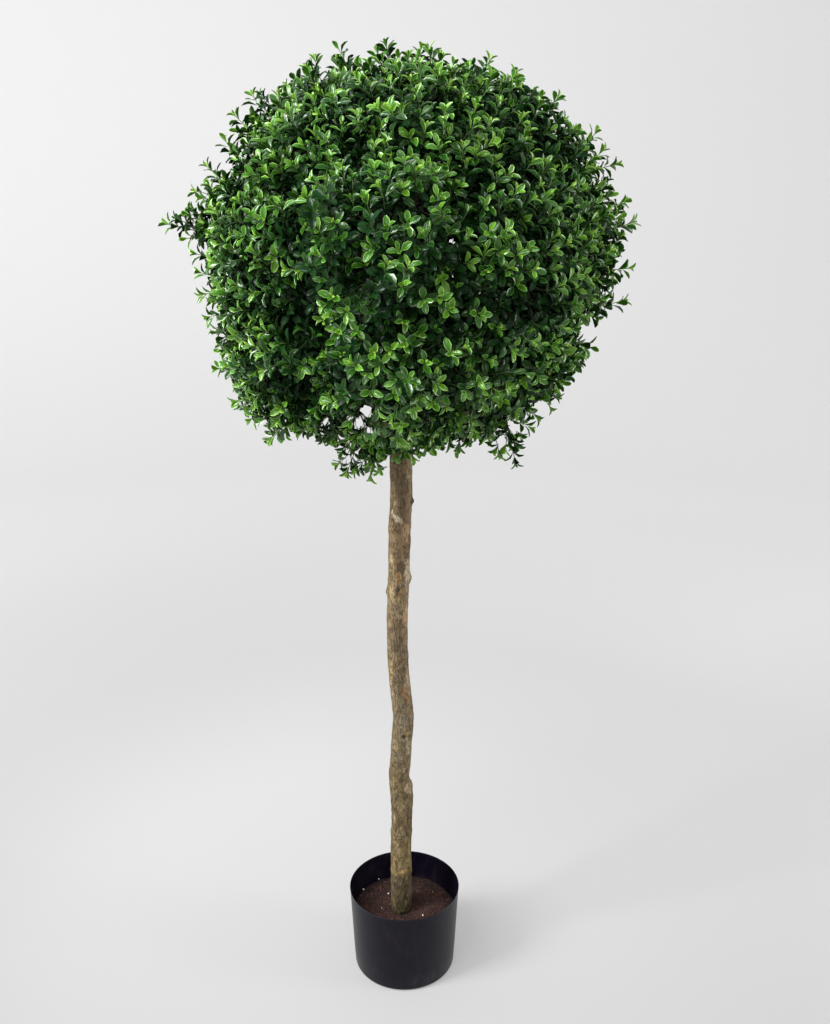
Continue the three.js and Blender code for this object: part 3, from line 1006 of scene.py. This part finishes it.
# What tints each pair may take, by how much light the spray gets.
SPRAY_TINTS = {
    "bright": [
        ("bud",),
        ("fresh_warm", "fresh_warm", "fresh_cool"),
        ("fresh_warm", "fresh_cool", "mid_warm"),
        ("mid_warm", "mid_cool"),
        ("mid_cool", "dark_warm"),
        ("dark_cool", "dark_warm"),
    ],
    "common": [
        ("bud", "fresh_warm"),
        ("fresh_cool", "fresh_warm"),
        ("mid_warm", "fresh_cool"),
        ("mid_cool", "dark_warm"),
        ("dark_cool", "dark_warm"),
        ("dark_cool", "deep"),
    ],
    "dull": [
        ("mid_warm", "fresh_cool"),
        ("mid_cool", "mid_warm"),
        ("dark_warm", "dark_cool"),
        ("dark_cool",),
        ("dark_cool", "deep"),
        ("deep",),
    ],
    "hidden": [
        ("dark_cool",),
        ("dark_cool",),
        ("dark_cool", "deep"),
        ("deep",),
    ],
    "under": [
        ("fresh_cool", "mid_warm"),
        ("mid_warm", "shaded"),
        ("shaded", "dark_warm"),
        ("shaded", "deep"),
    ],
}


def spray_tints(kind, first, count):
    """What tints the pairs of one spray may take, from its pair number first on."""
    rows = SPRAY_TINTS[kind]
    return [rows[min(first + number, len(rows) - 1)] for number in range(count)]


# How much leaves stray from their rule.
PAIR_TWIST = 0.2
LEAF_TWIST = 0.12
LEAF_ROLL = 0.24
LEAF_ANGLE_STRAY = 9
LEAF_GROWTH = (0.86, 1.14)
LEAF_CURL = (0.5, 1.5)


def grow_spray(foliage, tip, axis, kind, rng, pairs, first=0, size=1.0):
    """Sets pairs of leaves crosswise along the end of a stem, back from its tip."""
    tints = spray_tints(kind, first, len(pairs))
    start = axis.orthogonal().normalized()
    start.rotate(Matrix.Rotation(rng.uniform(0, math.tau), 3, axis))
    for number, pair in enumerate(pairs):
        tint = rng.choice(tints[number])
        turn = math.pi / 2 * number + rng.gauss(0, PAIR_TWIST)
        for side in (0, math.pi):
            outward = start.copy()
            outward.rotate(Matrix.Rotation(turn + side + rng.gauss(0, LEAF_TWIST), 3, axis))
            angle = math.radians(pair["angle"] + rng.gauss(0, LEAF_ANGLE_STRAY))
            along = axis * math.cos(angle) + outward * math.sin(angle)
            face = axis * math.sin(angle) - outward * math.cos(angle)
            face.rotate(Matrix.Rotation(rng.gauss(0, LEAF_ROLL), 3, along))
            foot = tip - axis * pair["back"] * MM + outward * STEM_RADIUS * 0.5
            grown = size * rng.uniform(*LEAF_GROWTH)
            length = LEAF_LENGTH * pair["length"] * grown
            width = LEAF_WIDTH * pair["width"] * grown
            foliage.add(foot, along, face, length, width, rng.uniform(*LEAF_CURL), tint)


def grow_shoot(foliage, stems, line, axis, kind, rng, pairs, radii=(1.3, 0.6)):
    """A stem of its own, from a start by a bend to its tip, with its leaf pairs."""
    start, bend, tip = line
    grow_spray(foliage, tip, axis, kind, rng, pairs)
    stems.add(start, bend, tip, radii[0] * STEM_RADIUS, radii[1] * STEM_RADIUS, SHOOT_WOOD)


# ---------- crown ----------
MASSES = sorted(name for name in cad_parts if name.startswith("mass_"))
TUFTS = sorted(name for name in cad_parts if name.startswith("tuft_"))
crown_low = Vector(np.min([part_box(name)[0] for name in MASSES], axis=0))
crown_high = Vector(np.max([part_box(name)[1] for name in MASSES], axis=0))
CROWN_CENTRE = (crown_low + crown_high) / 2
VIEW_DOWN = math.radians(17.6)
VIEW_NEAR = math.radians(10.8)  # how far towards the viewer the outline lies, because the view is near
TOWARDS_VIEW = Vector((0, -math.cos(VIEW_DOWN), math.sin(VIEW_DOWN)))

# Layers of sprays from the outline inwards: how deep their tips lie and how far apart, in mm, what
# light they get, how much they lean, their first leaf pair, and how large their leaves are.
OUTER_KINDS = ("bright", "common", "common", "dull")
SECOND_KINDS = ("common", "dull", "dull", "hidden")
LAYERS = [
    {"depth": 5, "spacing": 19, "kinds": OUTER_KINDS, "lean": 0.36, "first": 0, "size": 1},
    {"depth": 22, "spacing": 20, "kinds": SECOND_KINDS, "lean": 0.46, "first": 0, "size": 1},
    {"depth": 42, "spacing": 22, "kinds": ("hidden",), "lean": 0.6, "first": 2, "size": 1.15},
    {"depth": 62, "spacing": 27, "kinds": ("hidden",), "lean": 0.8, "first": 2, "size": 1.25},
]
DEEPEST = 84
TRIES_PER_PLACE = 9
# Slow noise over the crown makes clumps: how finely, below what value an outermost spray is left out
# unless it lies in a fresh clump, and how much deeper or shallower it sets the rest, in mm.
CLUMP_COUNT = 24
CLUMP_GAP = -0.22
FRESH_EDGE = 0.2
CLUMP_DEPTH = 16
DEPTH_STRAY = (-4, 6)
# Some outermost sprays stand proud, by so many mm, but none that would change the front's outline.
PROUD_SHARE = 0.14
PROUD_BY = (8, 22)
OUTLINE_BAND = (0.19, 0.15)  # the middle and half width of the cosines that count as the outline
# How strongly a mass's own face and straight up turn a spray away from the crown's middle.
FACE_PULL, UP_PULL = 0.4, 0.5
# How often a spray's light differs: in a fresh clump, in a hollow's heart, and low on the crown.
FRESH_SHARE = 0.7
HOLLOW_HEART, HOLLOW_SHARE = 0.45, 0.65
LOW_SIDE, UNDERSIDE, LOW_SHARE = -0.3, -0.6, 0.12

# Twigs fork from the end of a bough: how many sprays one carries, how far along to their middle it ends
# and how much further in, how much it bows, both in mm, and how much it tapers.
SPRAYS_PER_TWIG = 14
FORK_SHARE = 0.62
FORK_SUNK = 4
TWIG_BOW = (-4, 10)
TWIG_TAPER = 0.62
STEM_TAPER = 0.55
STEM_STRAIGHT = 30 * MM  # the longest straight end of a spray's stem

# Dark hollows between the clumps: azimuth from the front towards the right, latitude and half width, in
# degrees.
HOLLOWS = [
    (25, -9, 8), (8, 0, 7), (3, -16, 6), (33, 10, 5), (-28, -16, 6), (-42, -33, 6), (-19, 33, 5),
    (-30, -5, 6), (-18, -1, 4), (-8, -4, 5), (-7, -12, 4), (-4, 15, 5), (-31, 9, 5), (-25, -26, 4),
    (11, -25, 4),
]

# Fresh clumps that stand a little proud, in the same measures.
FRESH_CLUMPS = [
    (-49, -21, 8), (-19, -17, 6), (-5, 25, 5), (-8, -36, 5), (-18, 24, 4), (7, 35, 7), (-28, 21, 5),
    (-36, 1, 6), (17, 9, 6), (24, 6, 5), (21, 35, 6), (-43, 33, 6), (-38, 43, 7), (-22, 39, 5),
    (1, 57, 7), (1, 8, 4), (-53, 5, 7), (-46, 11, 6), (-60, 12, 8), (-61, -10, 8),
]
HOLLOW_DROP = 34
FRESH_RISE = 8


def direction_of(azimuth, latitude):
    around, up = math.radians(azimuth), math.radians(latitude)
    return Vector((math.sin(around) * math.cos(up), -math.cos(around) * math.cos(up), math.sin(up)))


def patch_share(direction, patches):
    """How far a direction lies within one of some patches: 1 at a middle, 0 well outside them all."""
    most = 0
    for azimuth, latitude, half in patches:
        away = math.degrees(direction.angle(direction_of(azimuth, latitude)))
        most = max(most, 1 - min(1, (away / half) ** 2 * 0.7))
    return most


def outer_triangles(node):
    """The triangles of a mass that face out of the crown, with their areas added up."""
    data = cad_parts[node].data
    data.calc_loop_triangles()
    found, total = [], 0
    for triangle in data.loop_triangles:
        corners = [data.vertices[i].co for i in triangle.vertices]
        middle = sum(corners, Vector()) / 3
        outward = (middle - CROWN_CENTRE).normalized()
        if outward.dot(triangle.normal) > 0.3:
            total += triangle.area
            found.append((total, corners, triangle.normal.copy()))
    return found


def scatter(node, spacing, taken, rng):
    """Random places on the outside of a mass, none closer than spacing to another."""
    triangles = outer_triangles(node)
    total = triangles[-1][0]
    tries = int(total / spacing**2 * TRIES_PER_PLACE)
    found = []
    for _ in range(tries):
        aim = rng.random() * total
        _, corners, normal = next(row for row in triangles if row[0] >= aim)
        a, b = rng.random(), rng.random()
        if a + b > 1:
            a, b = 1 - a, 1 - b
        point = corners[0] + (corners[1] - corners[0]) * a + (corners[2] - corners[0]) * b
        cell = tuple(int(math.floor(c / spacing)) for c in point)
        near = [
            other
            for x in (-1, 0, 1)
            for y in (-1, 0, 1)
            for z in (-1, 0, 1)
            for other in taken.get((cell[0] + x, cell[1] + y, cell[2] + z), ())
        ]
        if all((point - other).length > spacing for other in near):
            taken.setdefault(cell, []).append(point)
            found.append((point, normal))
    return found


def spray_kind(layer, outward, hollow, fresh, rng):
    """How much light a spray gets, from where on the crown it is."""
    outermost = layer is LAYERS[0]
    kind = rng.choice(layer["kinds"])
    if outermost and rng.random() < FRESH_SHARE * fresh:
        kind = "bright"
    if hollow > HOLLOW_HEART and rng.random() < HOLLOW_SHARE:
        kind = "hidden"
    if outward.z < LOW_SIDE and outermost and rng.random() < LOW_SHARE:
        kind = "bright"
    if outward.z < UNDERSIDE and rng.random() < LOW_SHARE:
        kind = "under"
    return kind


def spray_sites(node, layer, taken, rng):
    """Tips and directions of one layer's sprays in a mass."""
    sites = []
    for point, normal in scatter(node, layer["spacing"] * MM, taken, rng):
        outward = (point - CROWN_CENTRE).normalized()
        clump = noise.noise(point * CLUMP_COUNT)
        hollow = patch_share(outward, HOLLOWS)
        fresh = patch_share(outward, FRESH_CLUMPS)
        outermost = layer is LAYERS[0]
        if outermost and clump < CLUMP_GAP and fresh < FRESH_EDGE:
            continue
        depth = TIP_DEPTH / MM + layer["depth"] - CLUMP_DEPTH * clump * (1 - fresh)
        depth += rng.uniform(*DEPTH_STRAY)
        depth += HOLLOW_DROP * hollow - FRESH_RISE * fresh
        if outermost and rng.random() < PROUD_SHARE:
            from_outline = abs(outward.dot(TOWARDS_VIEW) - OUTLINE_BAND[0])
            depth -= rng.uniform(*PROUD_BY) if from_outline > OUTLINE_BAND[1] else 0
        tip = point - outward * min(depth, DEEPEST) * MM
        stray = Vector([rng.gauss(0, 1) for _ in range(3)]) * layer["lean"]
        axis = (outward + normal * FACE_PULL + stray + UP * UP_PULL).normalized()
        sites.append((tip, axis, spray_kind(layer, outward, hollow, fresh, rng), layer))
    return sites


def clusters(points, count, rng):
    """Splits points into groups round spread-out seeds. Returns the group number of each."""
    seeds = [rng.choice(points)]
    while len(seeds) < min(count, len(points)):
        seeds.append(max(points, key=lambda p: min((p - s).length for s in seeds)))
    return [min(range(len(seeds)), key=lambda i: (p - seeds[i]).length) for p in points]


def bough_end(node):
    """Where a bough enters its mass."""
    points = [vert.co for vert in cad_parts[node].data.vertices]
    mass_middle = sum(map(Vector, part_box(node.replace("bough", "mass"))), Vector()) / 2
    nearest = sorted(points, key=lambda p: (p - mass_middle).length)[:6]
    return sum(nearest, Vector()) / len(nearest)


def grow_mass(node, taken, rng):
    """Fills one mass: its bough forks into twigs, and each twig carries sprays."""
    foliage = Foliage()
    hub = bough_end(node.replace("mass", "bough"))
    sites = []
    for layer, places in zip(LAYERS, taken):
        sites += spray_sites(node, layer, places, rng)
    tips = [site[0] for site in sites]
    groups = clusters(tips, max(4, len(tips) // SPRAYS_PER_TWIG), rng)
    limbs = Twigs(5, 6)
    stems = Twigs(3, 5)
    for group in sorted(set(groups)):
        members = [site for site, owner in zip(sites, groups) if owner == group]
        middle = sum((site[0] for site in members), Vector()) / len(members)
        fork = hub.lerp(middle, FORK_SHARE) - (middle - CROWN_CENTRE).normalized() * FORK_SUNK * MM
        bow = hub.lerp(fork, 0.5) + (hub - CROWN_CENTRE).normalized() * rng.uniform(*TWIG_BOW) * MM
        limbs.add(hub, bow, fork, TWIG_RADIUS, TWIG_TAPER * TWIG_RADIUS, [OLD_WOOD] * 5)
        for tip, axis, kind, layer in members:
            first = layer["first"]
            pairs = SPRAY_PAIRS[first:]
            grow_spray(foliage, tip, axis, kind, rng, pairs, first, layer["size"])
            bend = tip - axis * min(STEM_STRAIGHT, 0.6 * (tip - fork).length)
            end = tip - axis * pairs[0]["back"] * MM
            stems.add(fork, bend, end, STEM_RADIUS, STEM_TAPER * STEM_RADIUS, SPRAY_WOOD)
    return foliage, [limbs, stems]


def add_crown():
    taken = [{} for _ in LAYERS]
    for number, node in enumerate(MASSES):
        foliage, bundles = grow_mass(node, taken, random.Random(100 + number))
        name = node.replace("mass_", "")
        foliage.add_to_object(f"leaves_{name}", [node])
        add_twigs(f"twigs_{name}", bundles)


add_crown()


# ---------- collar ----------
# Short sprays round the top of the bare stem: turn from the front towards the right, how far out of
# the stem's middle the tip stands, and its height, in mm.
COLLAR = [
    (-34, 44, 949), (-14, 40, 935), (4, 46, 943), (22, 42, 933), (46, 46, 945), (-58, 48, 955),
    (-2, 36, 957), (-24, 50, 967), (14, 52, 965), (34, 50, 963), (74, 44, 951), (-84, 46, 957),
    (104, 44, 949), (134, 46, 945), (164, 42, 951), (194, 46, 943), (224, 44, 951), (250, 44, 947),
]
# Where their stems start: how far above the tip, and how far out of the stem's middle, in mm.
COLLAR_ABOVE, COLLAR_OUT = 42, 10


def add_collar(rng):
    foliage = Foliage()
    stems = Twigs(4, 6)
    for turn, reach, height in COLLAR:
        outward = direction_of(turn, 0)
        tip = outward * reach * MM + UP * height * MM
        axis = (outward * 0.9 + UP * rng.uniform(-0.5, 0.1)).normalized()
        start = UP * (height + COLLAR_ABOVE) * MM + outward * COLLAR_OUT * MM
        bend = tip - axis * 0.5 * (tip - start).length
        pairs = SPRAY_PAIRS[: rng.choice((3, 4))]
        grow_shoot(foliage, stems, (start, bend, tip), axis, "bright", rng, pairs)
    foliage.add_to_object("leaves_collar")
    add_twigs("twigs_collar", [stems])


add_collar(random.Random(500))


# ---------- shoots ----------
# Shoots that stand out of the crown's outline as it is seen from the front and a little above: turn
# clockwise from straight up, in degrees, and how far the tip is from the crown's middle, in mm.
SHOOTS = [
    (22, 291), (30, 289), (44, 298), (58, 307), (68, 311), (78, 308), (84, 313), (96, 308),
    (105, 308), (120, 292), (217, 344), (229, 338), (238, 332), (247, 312), (255, 300), (263, 310),
    (278, 328), (284, 322), (291, 317), (299, 309), (306, 317), (313, 316), (332, 302), (339, 304),
    (352, 291), (257, 314), (268, 313), (63, 303), (251, 312),
]
SHOOT_LENGTH = 75 * MM


def outline_direction(around):
    """A direction from the crown's middle to its outline as the front view sees it."""
    turn = math.radians(around)
    upward = Vector((0, math.sin(VIEW_DOWN), math.cos(VIEW_DOWN)))
    flat = Vector((math.sin(turn), 0, 0)) + upward * math.cos(turn)
    return flat * math.cos(VIEW_NEAR) + TOWARDS_VIEW * math.sin(VIEW_NEAR)


# Shoots that hang below the crown: where the tip is, in mm, and which way it points.
HANGING = [
    ((-99, -62, 926), (-0.8, -0.2, -0.5)),
    ((-84, -70, 914), (-0.4, -0.5, -0.8)),
    ((-70, -76, 924), (-0.2, -0.8, -0.5)),
    ((-46, -74, 908), (0.1, -0.6, -0.8)),
    ((-33, -80, 922), (0.3, -0.8, -0.5)),
    ((-50, -84, 934), (-0.1, -0.9, -0.3)),
    ((-194, -80, 966), (-0.7, -0.4, -0.6)),
    ((-172, -84, 973), (-0.2, -0.7, -0.7)),
    ((174, -60, 968), (0.6, -0.3, -0.6)),
    ((142, -64, 938), (0.1, -0.5, -0.9)),
    ((40, -46, 944), (0.6, -0.7, -0.4)),
    ((24, -50, 942), (0.2, -0.8, -0.4)),
]


def hang_shoots(foliage, stems, rng):
    for place, way in HANGING:
        axis = Vector(way).normalized()
        outline = Vector(place) * MM
        start = outline + (CROWN_CENTRE - outline).normalized() * SHOOT_LENGTH
        line = (start, outline - axis * 0.5 * SHOOT_LENGTH, outline - axis * TIP_DEPTH)
        pairs = SPRAY_PAIRS[: rng.choice((4, 5))]
        grow_shoot(foliage, stems, line, axis, "bright", rng, pairs)


def add_shoots(rng):
    foliage = Foliage()
    stems = Twigs(4, 6)
    hang_shoots(foliage, stems, rng)
    for around, reach in SHOOTS:
        outward = outline_direction(around)
        tip = CROWN_CENTRE + outward * (reach * MM - TIP_DEPTH)
        stray = Vector([rng.gauss(0, 0.22) for _ in range(3)])
        axis = (outward + stray + UP * 0.3).normalized()
        line = (tip - outward * SHOOT_LENGTH, tip - axis * 0.5 * SHOOT_LENGTH, tip)
        pairs = TUFT_PAIRS[: rng.choice((6, 7, 8))]
        kind = rng.choice(("bright", "common"))
        grow_shoot(foliage, stems, line, axis, kind, rng, pairs)
    foliage.add_to_object("leaves_shoots")
    add_twigs("twigs_shoots", [stems])


add_shoots(random.Random(600))


# ---------- tufts ----------
TUFT_SPRAYS = 9
TUFT_ROOTED = 25  # how far inside the tuft's own shape its stems start, in mm


def add_tuft(node, rng):
    """Long sprays that fan out of the crown within the tuft's own outline."""
    points = [vert.co.copy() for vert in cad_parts[node].data.vertices]
    middle = sum(points, Vector()) / len(points)
    ranked = sorted(points, key=lambda p: (p - CROWN_CENTRE).length)
    inmost = ranked[: len(ranked) // 4]
    root = sum(inmost, Vector()) / len(inmost)
    inner = root + (CROWN_CENTRE - root).normalized() * TUFT_ROOTED * MM
    outer = ranked[len(ranked) // 3 :]
    foliage = Foliage()
    stems = Twigs(4, 6)
    ends = [ranked[-1]]
    while len(ends) < TUFT_SPRAYS:
        ends.append(max(outer, key=lambda p: min((p - e).length for e in ends)))
    for end in ends:
        fan = (end - middle).normalized()
        tip = middle.lerp(end, 0.9) - fan * TIP_DEPTH
        axis = ((tip - root).normalized() + fan * 0.4 + UP * 0.15).normalized()
        bend = tip - axis * 0.6 * (tip - inner).length
        pairs = TUFT_PAIRS[: rng.choice((5, 6, 8))]
        kind = rng.choice(("bright", "common", "dull"))
        grow_shoot(foliage, stems, (inner, bend, tip), axis, kind, rng, pairs, (1.5, 0.7))
    foliage.add_to_object(f"leaves_{node}", [node])
    add_twigs(f"twigs_{node}", [stems])


for tuft_number, tuft_node in enumerate(TUFTS):
    add_tuft(tuft_node, random.Random(300 + tuft_number))


# ---------- boughs ----------
BOUGH_RELIEF = 0.5  # in mm
BOUGH_WAVES = 160  # in a metre


def bough_finish():
    finish = Finish("bough_bark", Specular_IOR_Level=0.3)
    patches = finish.noise(8 * MM, detail=5)
    finish.feed("Base Color", finish.cover(tone(48, 38, 26), patches, 0.35, 0.7, 1, (92, 76, 54)))
    finish.feed("Roughness", 0.7 + 0.2 * patches)
    finish.bump(patches, 0.5, 0.6 * MM)
    return finish.material


def add_boughs():
    boughs = sorted(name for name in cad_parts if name.startswith("bough_"))
    every_way = {"use_axis_x": True, "use_axis_y": True, "use_axis_z": True}
    whole = bmesh.new()
    for node in boughs:
        bm = merged_copy(node, 1)
        bmesh.ops.smooth_vert(bm, verts=bm.verts, factor=0.4, **every_way)
        bm.normal_update()
        for vert in bm.verts:
            vert.co += vert.normal * BOUGH_RELIEF * MM * noise.noise(vert.co * BOUGH_WAVES)
        part = mesh_from(bm, "bough_part")
        whole.from_mesh(part)
        bpy.data.meshes.remove(part)
    mesh = mesh_from(whole, "boughs_bark")
    finish_piece("boughs_bark", mesh, [bough_finish()], boughs)


add_boughs()


# ---------- stage and light ----------
# A bowl of paper: where its flat floor ends, the radius of its cove, and how high its wall goes.
FLOOR_REACH, COVE, WALL_TOP = 3.4, 2.4, 7.0
STAGE_STEPS = 96
# How pale the paper is at each distance from the middle, where the softboxes reach it evenly.
PAPER_TONES = [(0.9, 0.285), (1.35, 0.35), (2.2, 0.43), (3.0, 0.5), (4.6, 0.54), (5.9, 0.61)]
PAPER_GLOW = 0.27
# How much paler it gets in a metre: to the right on the floor and on the wall, and to the back. On the
# wall this is below 0, so the wall is paler to the left: painted light, a brighter left side of the
# wall.
FLOOR_SIDE, WALL_SIDE, FLOOR_BACK = 0.05, -0.045, 0.1
# Where the two large softboxes stand. The paper is darker in a spot under each.
LEFT_STAND = (-2.2, -1.1)
RIGHT_STAND = (2.4, -0.5)
STAND_SHADE = 0.55
STAND_SPOT = 1.3


def paper_finish():
    """Pale paper, toned so that it comes out even under the softboxes, but for a painted brighter left
    side of the wall.

    All its distances are in metres from the middle of the floor.
    """
    finish = Finish(
        "paper",
        Roughness=0.9,
        Specular_IOR_Level=0.1,
        Emission_Color=(1, 1, 1),
        Emission_Strength=PAPER_GLOW,
    )
    away = finish.from_axis()
    level = PAPER_TONES[0][1]
    for (start, low), (end, high) in zip(PAPER_TONES, PAPER_TONES[1:]):
        ease = 0.3 * (end - start)
        level = level + (high - low) * finish.step(away, start - ease, end + ease)
    floor = finish.step(away, 0.5, 1.1) * (1 - finish.step(away, 1.2, 2.8))
    side = FLOOR_SIDE * floor + WALL_SIDE * finish.step(away, 2.8, 6.5)
    back = FLOOR_BACK * (1 - finish.step(away, 0.6, 1.4))
    level = level + side * finish.axis("X") + back * finish.axis("Y")
    for stand in (LEFT_STAND, RIGHT_STAND):
        under = finish.spot((*stand, 0), [STAND_SPOT] * 3, 0, 0.8)
        level = level * (1 - STAND_SHADE * under)
    finish.feed("Base Color", level)
    return finish.material


def add_stage():
    """A wide bowl of pale paper, so that every view has the same plain ground and wall."""
    cove = arc((FLOOR_REACH, COVE), COVE, -90, 0, 16)
    profile = [(0, 0), (1.2, 0), *cove, (FLOOR_REACH + COVE, WALL_TOP)]
    mesh = mesh_from(lathe(profile, STAGE_STEPS), "backdrop")
    mesh.polygons.foreach_set("use_smooth", [True] * len(mesh.polygons))
    mesh.materials.append(paper_finish())
    backdrop = bpy.data.objects.new("backdrop", mesh)
    bpy.context.collection.objects.link(backdrop)


def add_softbox(name, place, aim, size, power):
    data = bpy.data.lights.new(name, "AREA")
    data.shape = "RECTANGLE"
    data.size, data.size_y = size
    data.energy = power
    light = bpy.data.objects.new(name, data)
    light.location = place
    light.rotation_euler = (Vector(aim) - Vector(place)).to_track_quat("-Z", "Y").to_euler()
    light.visible_camera = False
    bpy.context.collection.objects.link(light)


# Where the lights stand, what they aim at, how wide and tall they are, and their power in watts.
POT_MIDDLE = (0, 0, 0.25)
SOFTBOXES = [
    ("left_softbox", (*LEFT_STAND, 2.4), CROWN_CENTRE, (0.9, 1.5), 110),
    ("right_softbox", (*RIGHT_STAND, 1.0), POT_MIDDLE, (0.7, 1.0), 25),
    ("top_softbox", (-1.0, -1.4, 3.2), CROWN_CENTRE, (1.5, 0.9), 44),
    ("front_fill", (0.2, -2.0, 1.6), CROWN_CENTRE, (0.5, 0.5), 7),
]
ROOM_LIGHT = 0.62


def add_lights():
    for row in SOFTBOXES:
        add_softbox(*row)
    world = bpy.data.worlds.new("room")
    world.use_nodes = True
    background = world.node_tree.nodes["Background"]
    background.inputs["Color"].default_value = (1, 1, 1, 1)
    background.inputs["Strength"].default_value = ROOM_LIGHT
    bpy.context.scene.world = world
    bpy.context.scene.view_settings.view_transform = "Standard"


add_stage()
add_lights()
